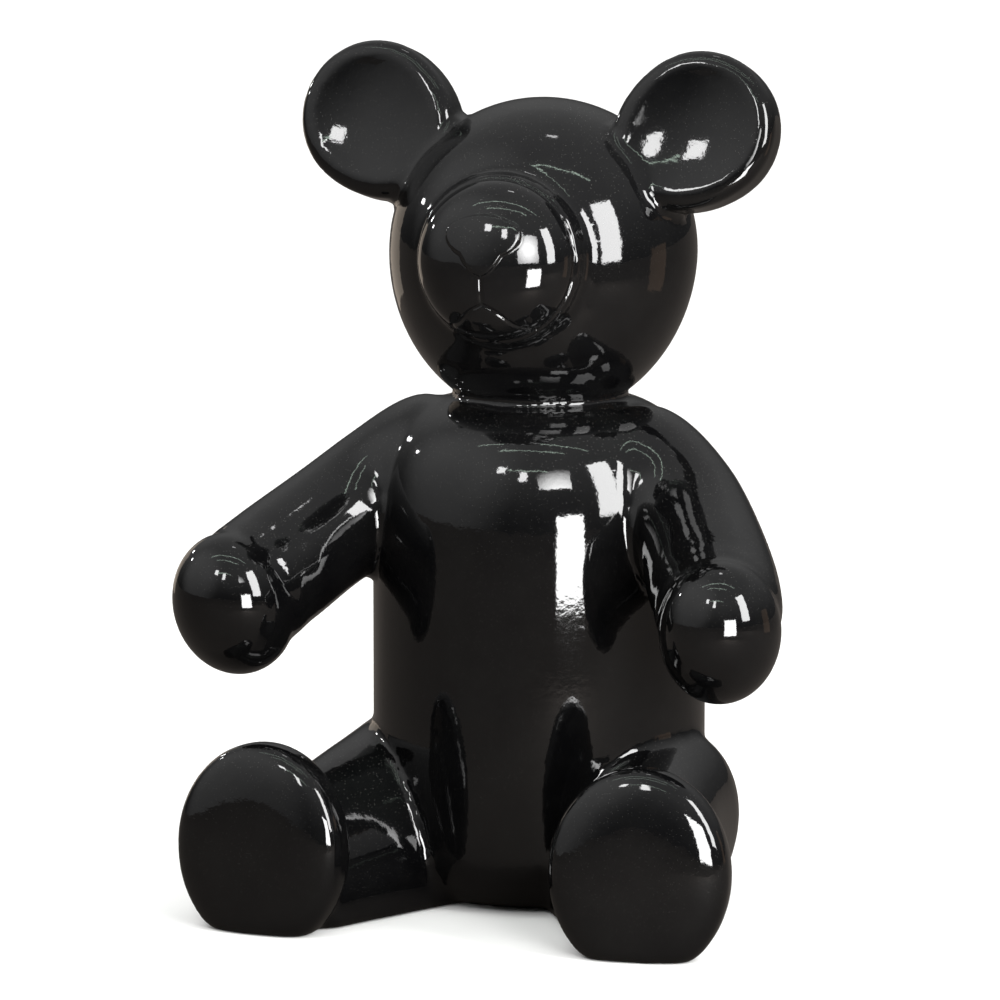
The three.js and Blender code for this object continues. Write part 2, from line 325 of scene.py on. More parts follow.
def quarter(radius, base, rise, power, steps):
    """Pairs along a quarter of a rounded outline, from its side to its top."""
    pairs = []
    for i in range(steps + 1):
        t = i / steps * math.pi / 2
        width = radius * math.cos(t) ** (2 / power) if i < steps else 0
        pairs.append((width, base + rise * math.sin(t) ** (2 / power)))
    return pairs


def turned(name, profile, around=128):
    """A closed form spun about Z from (radius, height) pairs that start and end on the axis."""
    clear_selection()
    bpy.ops.mesh.primitive_plane_add(size=0.01, location=(0, 0, 0))
    piece = bpy.context.object
    piece.name = FORM + name
    open_mesh(piece)
    bpy.ops.mesh.merge(type="CENTER")
    radius, height = profile[0]
    bpy.ops.transform.translate(value=(radius, 0, height))
    for (r0, h0), (r1, h1) in zip(profile, profile[1:]):
        bpy.ops.mesh.extrude_vertices_move(TRANSFORM_OT_translate={"value": (r1 - r0, 0, h1 - h0)})
    bpy.ops.mesh.select_all(action="SELECT")
    bpy.ops.mesh.spin(steps=around, angle=2 * math.pi, center=(0, 0, 0), axis=(0, 0, 1))
    bpy.ops.mesh.select_all(action="SELECT")
    bpy.ops.mesh.remove_doubles(threshold=1e-6)
    bpy.ops.mesh.normals_make_consistent(inside=False)
    close_mesh()
    return piece


def at_ground(piece):
    """Cuts the piece off flat at the ground."""
    open_mesh(piece)
    bpy.ops.mesh.bisect(
        plane_co=(0, 0, 0), plane_no=(0, 0, 1), use_fill=True, clear_inner=True, threshold=1e-6
    )
    close_mesh()


def head_middle():
    trunk = settings("trunk")
    return Vector((0, -trunk.head_forward, trunk.torso_top + trunk.head_chin - trunk.chin_sink))


def muzzle_place():
    muzzle = settings("muzzle")
    place = head_middle() + Vector((0, -muzzle.seat, muzzle.rise))
    return placed(place, facing(1, 0, muzzle.tilt))


def curve_at(points, t):
    """A point of the smooth curve through the points."""
    last = len(points) - 1
    i = min(int(t * last), last - 1)
    w = t * last - i
    p1, p2 = points[i], points[i + 1]
    p0 = points[i - 1] if i > 0 else p1 * 2 - p2
    p3 = points[i + 2] if i + 2 <= last else p2 * 2 - p1
    d0, d1, d2 = ((b - a).length ** 0.5 for a, b in ((p0, p1), (p1, p2), (p2, p3)))
    t1 = ((p1 - p0) / d0 - (p2 - p0) / (d0 + d1) + (p2 - p1) / d1) * d1
    t2 = ((p2 - p1) / d1 - (p3 - p1) / (d1 + d2) + (p3 - p2) / d2) * d1
    c2 = p2 * 3 - p1 * 3 - t1 * 2 - t2
    c3 = p1 * 2 - p2 * 2 + t1 + t2
    return p1 + t1 * w + c2 * w * w + c3 * w ** 3


def size_at(sizes, t):
    """A size between evenly numbered stations, with soft changes."""
    last = len(sizes) - 1
    i = min(int(t * last), last - 1)
    w = t * last - i
    s0, s1 = sizes[max(i - 1, 0)], sizes[i]
    s2, s3 = sizes[i + 1], sizes[min(i + 2, last)]
    v0, v1 = (s2 - s0) / 2, (s3 - s1) / 2
    return s1 + v0 * w + (3 * (s2 - s1) - 2 * v0 - v1) * w * w + (2 * (s1 - s2) + v0 + v1) * w ** 3


def limb(name, stations, end_round, around=96, along=72, fine=256):
    """A limb along stations (place, half width, half height), both ends closed by rounds."""
    places = [station[0] for station in stations]
    line = [curve_at(places, i / fine) for i in range(fine + 1)]
    run = [0.0]
    for a, b in zip(line, line[1:]):
        run.append(run[-1] + (b - a).length)
    length = run[-1]
    first = stations[0][1]
    last = stations[-1][1] * end_round
    rings = []
    for i in range(along + 1):
        t = (1 - math.cos(math.pi * i / along)) / 2
        u = float(np.interp(t * length, run, np.linspace(0, 1, fine + 1)))
        start = max(0, 1 - t * length / first)
        end = max(0, 1 - (1 - t) * length / last)
        cap = math.sqrt(max(0, 1 - start * start) * max(0, 1 - end * end))
        wide = size_at([station[1] for station in stations], u)
        tall = size_at([station[2] for station in stations], u)
        rings.append((t * length, wide * cap, tall * cap))
    clear_selection()
    bpy.ops.mesh.primitive_circle_add(vertices=around, radius=1, rotation=(0, math.pi / 2, 0))
    piece = bpy.context.object
    piece.name = FORM + name
    settle(piece)
    open_mesh(piece)
    x0, w0, h0 = rings[1]
    bpy.ops.transform.resize(value=(1, w0, h0), center_override=(0, 0, 0))
    bpy.ops.transform.translate(value=(x0, 0, 0))
    for x1, w1, h1 in rings[2:-1]:
        bpy.ops.mesh.extrude_region_move(TRANSFORM_OT_translate={"value": (x1 - x0, 0, 0)})
        bpy.ops.transform.resize(value=(1, w1 / w0, h1 / h0), center_override=(x1, 0, 0))
        x0, w0, h0 = x1, w1, h1
    for pole, ring in ((rings[-1][0], rings[-2][0]), (rings[0][0], rings[1][0])):
        pick(piece, lambda co: abs(co.x - ring) < 1e-6)
        bpy.ops.mesh.extrude_region_move(TRANSFORM_OT_translate={"value": (pole - ring, 0, 0)})
        bpy.ops.mesh.merge(type="CENTER")
    bpy.ops.mesh.select_all(action="SELECT")
    bpy.ops.mesh.normals_make_consistent(inside=False)
    close_mesh()
    clear_selection()
    bpy.ops.curve.primitive_nurbs_path_add()
    guide = bpy.context.object
    guide.data.splines.clear()
    guide.data.twist_mode = "Z_UP"
    strand = guide.data.splines.new("POLY")
    strand.points.add(fine)
    for point, place in zip(strand.points, line):
        point.co = (*place, 1)
    bend = piece.modifiers.new("bend", "CURVE")
    bend.object = guide
    bend.deform_axis = "POS_X"
    press(piece, bend)
    bpy.data.objects.remove(guide)
    open_mesh(piece)
    bpy.ops.mesh.normals_make_consistent(inside=False)
    close_mesh()
    return piece


def forms():
    return [piece for piece in bpy.data.objects if piece.name.startswith(FORM)]


def surface_of(piece):
    return BVHTree.FromObject(piece, bpy.context.evaluated_depsgraph_get())


def corners_of(piece):
    places = np.empty(len(piece.data.vertices) * 3)
    piece.data.vertices.foreach_get("co", places)
    return places.reshape(-1, 3)


def move_corners(piece, places):
    piece.data.vertices.foreach_set("co", places.ravel())
    piece.data.update()


class RESINBEAR_OT_trunk(bpy.types.Operator):
    """Turns the torso's barrel and shapes the egg of the head"""
    bl_idname = "resinbear.trunk"
    bl_label = "Torso and head"

    def execute(self, context):
        trunk = settings("trunk")
        steps = 24
        profile = [(0, 0)]
        for i in range(steps + 1):
            t = i / steps * math.pi / 2
            profile.append((
                trunk.torso_radius - trunk.torso_under * (1 - math.sin(t)),
                trunk.torso_under * (1 - math.cos(t)),
            ))
        rise = trunk.torso_top - trunk.torso_shoulder
        profile += quarter(trunk.torso_radius, trunk.torso_shoulder, rise, trunk.torso_power, 48)
        turned("torso", profile, 160)
        bpy.ops.mesh.primitive_uv_sphere_add(segments=160, ring_count=96, radius=1)
        head = context.object
        head.name = FORM + "head"
        open_mesh(head)
        bpy.ops.transform.resize(
            value=(trunk.head_radius, trunk.head_depth, 1), center_override=(0, 0, 0)
        )
        for sign, reach in ((1, trunk.head_crown), (-1, trunk.head_chin)):
            pick(head, lambda co: co.z * sign > 1e-4)
            bpy.ops.transform.resize(value=(1, 1, reach), center_override=(0, 0, 0))
        close_mesh()
        lean = Matrix.Rotation(-trunk.head_tilt, 4, "X")
        head.matrix_world = Matrix.Translation(head_middle()) @ lean
        settle(head)
        return {"FINISHED"}


def muzzle_profile(muzzle, steps=48):
    """The muzzle's outline from the foot of its wall to the tip of its dome."""
    lip = muzzle.radius - muzzle.taper
    profile = [(muzzle.radius, 0), (lip, muzzle.wall)]
    rise = muzzle.dome - muzzle.edge
    return profile + quarter(lip - muzzle.edge, muzzle.wall + muzzle.edge, rise, 2, steps)


class RESINBEAR_OT_muzzle(bpy.types.Operator):
    """Turns the muzzle's short drum with its domed front"""
    bl_idname = "resinbear.muzzle"
    bl_label = "Muzzle"

    def execute(self, context):
        muzzle = settings("muzzle")
        root = -muzzle.seat / 2
        profile = [(0, root), (muzzle.radius, root), *muzzle_profile(muzzle)]
        piece = turned("muzzle", profile, 160)
        piece.matrix_world = muzzle_place()
        settle(piece)
        return {"FINISHED"}


class RESINBEAR_OT_ears(bpy.types.Operator):
    """Turns the two dished ears and draws their roots out to the head"""
    bl_idname = "resinbear.ears"
    bl_label = "Ears"

    def execute(self, context):
        ear = settings("ear")
        half = ear.thickness / 2
        steps = 20
        back = [(r, -h) for r, h in reversed(quarter(ear.radius, 0, half, 2.6, steps))]
        rim = []
        for i in range(1, steps + 1):
            t = i / steps * math.pi * 0.62
            rim.append((
                ear.radius - ear.rim * (1 - math.cos(t)),
                half - ear.rim * (1 - math.sin(t)),
            ))
        lip, top = rim[-1]
        dish = [(lip * s, top - ear.dish * (1 - s * s)) for s in np.linspace(0.95, 0, steps)]
        profile = back + rim + dish
        lean = math.atan2(ear.rise, ear.spread)
        for side in (1, -1):
            piece = turned("ear_left" if side > 0 else "ear_right", profile)
            open_mesh(piece)
            pick(piece, lambda co: co.x < -1e-6)
            bpy.ops.transform.resize(value=(1 + ear.root, 1, 1), center_override=(0, 0, 0))
            close_mesh()
            place = head_middle() + Vector((side * ear.spread, -ear.forward, ear.rise))
            roll = Matrix.Rotation(lean if side > 0 else math.pi - lean, 4, "Z")
            piece.matrix_world = placed(place, facing(side, ear.turn, ear.tilt)) @ roll
            settle(piece)
        return {"FINISHED"}


class RESINBEAR_OT_arms(bpy.types.Operator):
    """Draws each arm from the shoulder, bent at the elbow, and sets the egg of the paw on its end"""
    bl_idname = "resinbear.arms"
    bl_label = "Arms"

    def execute(self, context):
        arm = settings("arm")
        top = settings("trunk").torso_top
        for side in (1, -1):
            hand = "left" if side > 0 else "right"
            shoulder = Vector((side * arm.shoulder_out, 0, top - arm.shoulder_drop))
            elbow = Vector((side * arm.elbow_out, -arm.elbow_forward, top - arm.elbow_drop))
            wrist = Vector((side * arm.wrist_out, -arm.wrist_forward, top - arm.wrist_drop))
            paw = Vector((side * arm.paw_out, -arm.paw_forward, top - arm.paw_drop))
            ahead = (paw - wrist).normalized()
            limb("arm_" + hand, [
                (shoulder, arm.shoulder_radius, arm.shoulder_radius),
                (elbow, arm.elbow_radius, arm.elbow_radius),
                (wrist, arm.wrist_radius, arm.wrist_radius),
                (paw + ahead * arm.cuff_reach, arm.cuff_width, arm.cuff_depth),
            ], 1)
            bpy.ops.mesh.primitive_uv_sphere_add(segments=96, ring_count=64, radius=1)
            egg = context.object
            egg.name = FORM + "paw_" + hand
            open_mesh(egg)
            bpy.ops.transform.resize(
                value=(arm.paw_width, arm.paw_depth, arm.paw_length), center_override=(0, 0, 0)
            )
            close_mesh()
            egg.matrix_world = placed(paw, ahead)
            settle(egg)
        return {"FINISHED"}


class RESINBEAR_OT_legs(bpy.types.Operator):
    """Draws each leg along the ground and turns the tall round foot in front of it"""
    bl_idname = "resinbear.legs"
    bl_label = "Legs and feet"

    def execute(self, context):
        leg = settings("leg")
        half = leg.foot_thickness / 2
        sole = quarter(1, 0, half, 3.4, 36)
        heel = [(r, -h) for r, h in reversed(sole)][:-1]
        for side in (1, -1):
            hand = "left" if side > 0 else "right"
            hip = Vector((side * leg.hip_out, leg.hip_back, leg.hip_rise))
            ankle = Vector((side * leg.ankle_out, -leg.ankle_forward, leg.ankle_rise))
            wide = (leg.hip_width, leg.ankle_width)
            tall = (leg.hip_top - leg.hip_rise, leg.ankle_top - leg.ankle_rise)
            thigh = limb("leg_" + hand, [
                (hip, wide[0], tall[0]),
                ((hip + ankle) / 2, sum(wide) / 2, sum(tall) / 2),
                (ankle, wide[1], tall[1]),
            ], 0.5)
            lean = Matrix.Identity(4)
            lean[0][2] = side * leg.lean
            thigh.data.transform(lean)
            at_ground(thigh)
            foot = turned("foot_" + hand, heel + sole)
            open_mesh(foot)
            bpy.ops.transform.resize(
                value=(leg.foot_half_width, leg.foot_half_height, 1), center_override=(0, 0, 0)
            )
            close_mesh()
            place = Vector((side * leg.foot_out, -leg.foot_forward, leg.foot_height))
            foot.matrix_world = placed(place, facing(side, leg.foot_turn, leg.foot_tilt))
            settle(foot)
            at_ground(foot)
        return {"FINISHED"}


class RESINBEAR_OT_casting(bpy.types.Operator):
    """Joins the forms under one skin and rounds the creases between them"""
    bl_idname = "resinbear.casting"
    bl_label = "Join and round"

    def execute(self, context):
        surface = settings("surface")
        parts = forms()
        if not parts:
            self.report({"ERROR"}, "There are no forms to join")
            return {"CANCELLED"}
        surfaces = [surface_of(piece) for piece in parts]
        take(*parts)
        bpy.ops.object.duplicate()
        bpy.ops.object.join()
        model = context.object
        model.name = "joined_forms"
        take(model)
        bpy.ops.object.duplicate()
        casting = context.object
        casting.name = CASTING
        skin = casting.modifiers.new("skin", "REMESH")
        skin.mode = "VOXEL"
        skin.voxel_size = surface.grain
        press(casting, skin)
        lay_on(casting, model)
        creases = casting.vertex_groups.new(name="creases")
        reach = surface.crease_reach
        for i, place in enumerate(corners_of(casting)):
            gaps = [abs(place[2])]
            for tree in surfaces:
                hit = tree.find_nearest(Vector(place), reach * 2)
                if hit[0] is not None:
                    gaps.append(hit[3])
            gaps.sort()
            if len(gaps) > 1 and gaps[1] < reach:
                weight = 1 - max(0, gaps[1] / reach - 0.4) / 0.6
                creases.add([i], weight, "REPLACE")
        soften = casting.modifiers.new("soften", "SMOOTH")
        soften.factor = 0.5
        soften.iterations = surface.crease_rounds
        soften.vertex_group = creases.name
        press(casting, soften)
        for piece in parts:
            bpy.data.objects.remove(piece)
        bpy.data.objects.remove(model)
        return {"FINISHED"}


def lay_on(piece, target):
    wrap = piece.modifiers.new("wrap", "SHRINKWRAP")
    wrap.target = target
    wrap.wrap_method = "NEAREST_SURFACEPOINT"
    press(piece, wrap)


def arc_points(points, steps=12):
    """Points along a Bezier arc of any order."""
    order = len(points) - 1
    found = []
    for i in range(steps + 1):
        t = i / steps
        found.append(sum(
            (p * (math.comb(order, k) * t ** k * (1 - t) ** (order - k)) for k, p in enumerate(points)),
            Vector((0, 0)),
        ))
    return found


def nose_outline(muzzle):
    """The rounded triangle of the nose, apex down, as (side, up) points on the muzzle."""
    half, shoulder = muzzle.nose_half, muzzle.nose_shoulder
    top, apex = muzzle.nose_top, muzzle.nose_apex
    flank = Vector((half * 0.55, shoulder * 0.35))
    crown = Vector((half * 0.6, top * 0.9))
    right = arc_points([Vector((0, apex)), Vector((half * 0.25, apex)), flank])
    right += arc_points([
        flank, Vector((half * 1.15, shoulder * 0.95)), Vector((half * 1.1, top * 0.8)), crown,
    ])[1:]
    right += arc_points([crown, Vector((half * 0.3, top)), Vector((0, top))])[1:]
    left = [Vector((-p.x, p.y)) for p in reversed(right[:-1])]
    return right + left


def mouth_lines(muzzle):
    """The stem and the two arcs of the mouth, as (side, up) points on the muzzle."""
    fork, spread, drop = muzzle.mouth_fork, muzzle.mouth_spread, muzzle.mouth_drop
    lines = [[Vector((0, muzzle.nose_apex)), Vector((0, fork))]]
    for side in (1, -1):
        points = [
            Vector((0, fork)), Vector((side * spread * 0.32, fork - drop * 0.32)),
            Vector((side * spread * 0.68, fork - drop * 0.84)), Vector((side * spread, fork - drop)),
        ]
        lines.append([curve_at(points, i / 24) for i in range(25)])
    return lines


def distance_to(line, x, y):
    """Distance from each point to a line of (side, up) points."""
    best = np.full(len(x), 1e9)
    for a, b in zip(line, line[1:]):
        run = b - a
        t = np.clip(((x - a.x) * run.x + (y - a.y) * run.y) / max(run.length_squared, 1e-12), 0, 1)
        best = np.minimum(best, np.hypot(x - a.x - t * run.x, y - a.y - t * run.y))
    return best


def inside(line, x, y):
    """True for each point within a closed line."""
    within = np.zeros(len(x), bool)
    for a, b in zip(line, line[1:]):
        if a.y == b.y:
            continue
        crosses = (a.y > y) != (b.y > y)
        within ^= crosses & (x < (b.x - a.x) * (y - a.y) / (b.y - a.y) + a.x)
    return within


def nearest_on(profile, r, z):
    """The nearest place on a profile to each (radius, height), and the way out there."""
    best = np.full(len(r), 1e9)
    spot = np.zeros((len(r), 2))
    out = np.zeros((len(r), 2))
    for (r0, z0), (r1, z1) in zip(profile, profile[1:]):
        dr, dz = r1 - r0, z1 - z0
        long = math.hypot(dr, dz)
        t = np.clip(((r - r0) * dr + (z - z0) * dz) / long ** 2, 0, 1)
        at = np.stack([r0 + t * dr, z0 + t * dz], 1)
        gap = np.hypot(r - at[:, 0], z - at[:, 1])
        closer = gap < best
        best[closer] = gap[closer]
        spot[closer] = at[closer]
        out[closer] = (dz / long, -dr / long)
    return spot, out


class RESINBEAR_OT_face(bpy.types.Operator):
    """Trues the muzzle's front, raises the nose and cuts the fine lines and the mouth"""
    bl_idname = "resinbear.face"
    bl_label = "Nose and mouth"

    def execute(self, context):
        muzzle = settings("muzzle")
        casting = bpy.data.objects[CASTING]
        place = muzzle_place()
        back = place.inverted()
        low = muzzle.wall - muzzle.edge * 0.6
        open_mesh(casting)
        for reach in (1.04, 1.02):
            pick(casting, lambda co: (
                (back @ co).xy.length < muzzle.radius * reach and (back @ co).z > low
            ))
            bpy.ops.mesh.subdivide(number_cuts=1, smoothness=0)
        close_mesh()
        places = corners_of(casting)
        turn = np.array(back.to_3x3())
        local = places @ turn.T + np.array(back.translation)
        near = (np.hypot(local[:, 0], local[:, 1]) < muzzle.radius * 1.02) & (local[:, 2] > low)
        x, y, z = local[near].T
        r = np.maximum(np.hypot(x, y), 1e-9)
        spot, out = nearest_on(muzzle_profile(muzzle, 240), r, z)
        hold = np.clip((z - low) / muzzle.edge, 0, 1)
        hold *= np.hypot(spot[:, 0] - r, spot[:, 1] - z) < muzzle.edge
        outline = nose_outline(muzzle)
        depth = distance_to(outline, x, y) * np.where(inside(outline, x, y), 1, -1)
        edge = muzzle.groove * 0.65
        step = np.clip(depth / edge * 0.5 + 0.5, 0, 1)
        lift = muzzle.nose_rise * 0.75 * step * step * (3 - 2 * step)
        lift -= muzzle.groove * 0.4 * np.exp(-(depth / (muzzle.groove * 0.4)) ** 2)
        mouth = np.minimum.reduce([distance_to(line, x, y) for line in mouth_lines(muzzle)])
        cut = muzzle.groove * 0.6 * np.exp(-(mouth / (muzzle.groove * 0.5)) ** 2)
        lift = np.where(depth > -edge, lift, lift - cut)
        seam = np.hypot(r - muzzle.radius + muzzle.taper + muzzle.edge, z - muzzle.wall - muzzle.edge)
        lift -= muzzle.groove * 0.4 * np.exp(-(seam / (muzzle.groove * 0.5)) ** 2)
        true = spot + out * lift[:, None]
        local[near, 0] = x + hold * (true[:, 0] - r) * x / r
        local[near, 1] = y + hold * (true[:, 0] - r) * y / r
        local[near, 2] = z + hold * (true[:, 1] - z)
        ahead = np.array(place.to_3x3())
        places[near] = local[near] @ ahead.T + np.array(place.translation)
        move_corners(casting, places)
        return {"FINISHED"}


def new_group(name, inputs, outputs):
    """An empty shader group with named sockets."""
    group = bpy.data.node_groups.new(name, "ShaderNodeTree")
    for label, kind, value in inputs:
        socket = group.interface.new_socket(label, in_out="INPUT", socket_type=kind)
        if value is not None:
            socket.default_value = value
    for label, kind in outputs:
        group.interface.new_socket(label, in_out="OUTPUT", socket_type=kind)
    return group, group.nodes.new("NodeGroupInput"), group.nodes.new("NodeGroupOutput")


def add(tree, kind, **values):
    node = tree.nodes.new(kind)
    for name, value in values.items():
        if name in node.inputs:
            node.inputs[name].default_value = value
        else:
            setattr(node, name, value)
    return node


def peel_group():
    """Height of the lacquer's orange peel: soft ripples with a finer grain on them."""
    group, given, made = new_group(
        "Orange peel",
        [("Vector", "NodeSocketVector", None), ("Size", "NodeSocketFloat", 0.006)],
        [("Height", "NodeSocketFloat")],
    )
    link = group.links.new
    inverse = add(group, "ShaderNodeMath", operation="DIVIDE")
    inverse.inputs[0].default_value = 1
    link(given.outputs["Size"], inverse.inputs[1])
    ripples = add(group, "ShaderNodeTexNoise", Detail=2.0, Roughness=0.5)
    link(given.outputs["Vector"], ripples.inputs["Vector"])
    link(inverse.outputs[0], ripples.inputs["Scale"])
    finer = add(group, "ShaderNodeMath", operation="MULTIPLY")
    finer.inputs[1].default_value = 4.5
    link(inverse.outputs[0], finer.inputs[0])
    grain = add(group, "ShaderNodeTexNoise", Detail=1.0)
    link(given.outputs["Vector"], grain.inputs["Vector"])
    link(finer.outputs[0], grain.inputs["Scale"])
    total = add(group, "ShaderNodeMath", operation="MULTIPLY_ADD")
    total.inputs[1].default_value = 0.12
    link(grain.outputs["Fac"], total.inputs[0])
    link(ripples.outputs["Fac"], total.inputs[2])
    link(total.outputs[0], made.inputs["Height"])
    return group


def dust_group():
    """Mask of fine specks that have settled, thicker where the surface looks up."""
    group, given, made = new_group(
        "Settled dust",
        [("Vector", "NodeSocketVector", None), ("Normal", "NodeSocketVector", None),
         ("Size", "NodeSocketFloat", 0.002)],
        [("Mask", "NodeSocketFloat")],
    )
    link = group.links.new
    inverse = add(group, "ShaderNodeMath", operation="DIVIDE")
    inverse.inputs[0].default_value = 1
    link(given.outputs["Size"], inverse.inputs[1])
    specks = add(group, "ShaderNodeTexVoronoi", feature="F1", Randomness=1.0)
    link(given.outputs["Vector"], specks.inputs["Vector"])
    link(inverse.outputs[0], specks.inputs["Scale"])
    dots = add(group, "ShaderNodeMapRange")
    for label, value in (("From Min", 0.16), ("From Max", 0.05), ("To Min", 0.0), ("To Max", 1.0)):
        dots.inputs[label].default_value = value
    link(specks.outputs["Distance"], dots.inputs["Value"])
    upward = add(group, "ShaderNodeSeparateXYZ")
    link(given.outputs["Normal"], upward.inputs[0])
    lying = add(group, "ShaderNodeMapRange")
    for label, value in (("From Min", -0.2), ("From Max", 1.0), ("To Min", 0.05), ("To Max", 1.0)):
        lying.inputs[label].default_value = value
    link(upward.outputs["Z"], lying.inputs["Value"])
    patches = add(group, "ShaderNodeTexNoise", Scale=16.0, Detail=3.0)
    link(given.outputs["Vector"], patches.inputs["Vector"])
    where = add(group, "ShaderNodeMath", operation="MULTIPLY")
    link(lying.outputs[0], where.inputs[0])
    link(patches.outputs["Fac"], where.inputs[1])
    mask = add(group, "ShaderNodeMath", operation="MULTIPLY")
    link(dots.outputs[0], mask.inputs[0])
    link(where.outputs[0], mask.inputs[1])
    link(mask.outputs[0], made.inputs["Mask"])
    return group


def black_lacquer():
    """Black resin under a polished clear lacquer, with orange peel and a little dust."""
    surface = settings("surface")
    material = bpy.data.materials.new("Black lacquered resin")
    material.use_nodes = True
    tree = material.node_tree
    tree.nodes.clear()
    link = tree.links.new
    output = add(tree, "ShaderNodeOutputMaterial")
    shader = add(tree, "ShaderNodeBsdfPrincipled")
    shader.inputs["IOR"].default_value = 1.52
    shader.inputs["Metallic"].default_value = 0
    link(shader.outputs[0], output.inputs[0])
    place = add(tree, "ShaderNodeTexCoord")
    look = add(tree, "ShaderNodeNewGeometry")
    peel = add(tree, "ShaderNodeGroup", node_tree=peel_group())
    peel.inputs["Size"].default_value = surface.peel_size
    link(place.outputs["Object"], peel.inputs["Vector"])
    bump = add(tree, "ShaderNodeBump", Strength=1.0, Distance=surface.peel_depth)
    link(peel.outputs["Height"], bump.inputs["Height"])
    link(bump.outputs[0], shader.inputs["Normal"])
    dust = add(tree, "ShaderNodeGroup", node_tree=dust_group())
    link(place.outputs["Object"], dust.inputs["Vector"])
    link(look.outputs["Normal"], dust.inputs["Normal"])
    clouds = add(tree, "ShaderNodeTexNoise", Scale=28.0, Detail=4.0, Roughness=0.6)
    link(place.outputs["Object"], clouds.inputs["Vector"])
    haze = add(tree, "ShaderNodeMapRange")
    for label, value in (("From Min", 0.35), ("From Max", 0.75), ("To Min", 0.0), ("To Max", 0.35)):
        haze.inputs[label].default_value = value
    link(clouds.outputs["Fac"], haze.inputs["Value"])
    body = add(tree, "ShaderNodeMix", data_type="RGBA")
    body.inputs["A"].default_value = (*surface.resin, 1)
    body.inputs["B"].default_value = (*surface.bloom, 1)
    link(haze.outputs[0], body.inputs["Factor"])
    dusty = add(tree, "ShaderNodeMix", data_type="RGBA")
    dusty.inputs["B"].default_value = (*surface.dust, 1)
    link(dust.outputs["Mask"], dusty.inputs["Factor"])
    link(body.outputs["Result"], dusty.inputs["A"])
    link(dusty.outputs["Result"], shader.inputs["Base Color"])
    rough = add(tree, "ShaderNodeMath", operation="MULTIPLY_ADD")
    rough.inputs[1].default_value = 0.5
    rough.inputs[2].default_value = surface.gloss
    link(dust.outputs["Mask"], rough.inputs[0])
    link(rough.outputs[0], shader.inputs["Roughness"])
    return material


class RESINBEAR_OT_lacquer(bpy.types.Operator):
    """Gives the casting its black lacquer and puts it in the solid's place"""
    bl_idname = "resinbear.lacquer"
    bl_label = "Lacquer"

    def execute(self, context):
        casting = bpy.data.objects[CASTING]
        take(casting)
        bpy.ops.object.shade_smooth()
        casting.data.materials.clear()
        casting.data.materials.append(black_lacquer())
        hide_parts(NODE)
        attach(casting, "root")
        return {"FINISHED"}


def softbox(name, turn, rise, reach, wide, high, brightness, tint=(1, 1, 1), aim=None, grid=90):
    """A rectangular light at two angles from its aim, as wide and high as two more.

    The grid in front of it hides it from places further off its axis than that angle.
    """
    a, e = math.radians(turn), math.radians(rise)
    away = Vector((math.sin(a) * math.cos(e), -math.cos(a) * math.cos(e), math.sin(e)))
    clear_selection()
    aim = Vector((0, 0, HEIGHT / 2)) if aim is None else aim
    bpy.ops.object.light_add(type="AREA", location=aim + away * reach)
    light = bpy.context.object
    light.name = name
    light.data.shape = "RECTANGLE"
    light.data.size = 2 * reach * math.tan(math.radians(wide / 2))
    light.data.size_y = 2 * reach * math.tan(math.radians(high / 2))
    light.data.energy = brightness * math.pi * light.data.size * light.data.size_y
    if grid < 90:
        edge = math.radians(grid)
        light.data.spread = 2 * edge
        light.data.energy *= 1 - edge / math.tan(edge)
    light.data.color = tint
    light.rotation_euler = away.to_track_quat("Z", "Y").to_euler()
    light.visible_camera = False
    return light


def soft_room(studio):
    """A world that brightens from the horizon to the ceiling and towards a pale wall."""
    world = bpy.data.worlds.new("Soft room")
    world.use_nodes = True
    tree = world.node_tree
    place = add(tree, "ShaderNodeTexCoord")
    split = add(tree, "ShaderNodeSeparateXYZ")
    ramp = add(tree, "ShaderNodeValToRGB")
    tree.links.new(place.outputs["Generated"], split.inputs[0])
    tree.links.new(split.outputs["Z"], ramp.inputs[0])
    seen = add(tree, "ShaderNodeLightPath")
    shade = add(tree, "ShaderNodeMix", data_type="RGBA")
    shade.inputs["B"].default_value = (0.95, 0.95, 0.95, 1)
    tree.links.new(seen.outputs["Is Camera Ray"], shade.inputs["Factor"])
    facing_wall = add(tree, "ShaderNodeVectorMath", operation="DOT_PRODUCT")
    facing_wall.inputs[1].default_value = TOWARDS_WALL
    tree.links.new(place.outputs["Generated"], facing_wall.inputs[0])
    glow = add(tree, "ShaderNodeMapRange", interpolation_type="SMOOTHSTEP")
    for label, value in (("From Min", 0.6), ("From Max", 0.97), ("To Min", 0), ("To Max", studio.wall)):
        glow.inputs[label].default_value = value
    tree.links.new(facing_wall.outputs["Value"], glow.inputs["Value"])
    room = add(tree, "ShaderNodeMix", data_type="RGBA", blend_type="ADD")
    room.inputs["Factor"].default_value = 1
    tree.links.new(ramp.outputs[0], room.inputs["A"])
    tree.links.new(glow.outputs[0], room.inputs["B"])
    tree.links.new(room.outputs["Result"], shade.inputs["A"])
    tree.links.new(shade.outputs["Result"], tree.nodes["Background"].inputs["Color"])
    low, high = ramp.color_ramp.elements
    low.position, low.color = 0.0, (*[studio.horizon * 0.6] * 3, 1)
    high.position, high.color = 1.0, (*[studio.ceiling] * 3, 1)
    middle = ramp.color_ramp.elements.new(0.12)
    middle.color = (*[studio.horizon] * 3, 1)
    above = ramp.color_ramp.elements.new(0.6)
    above.color = (*[studio.ceiling * 0.85] * 3, 1)
    return world


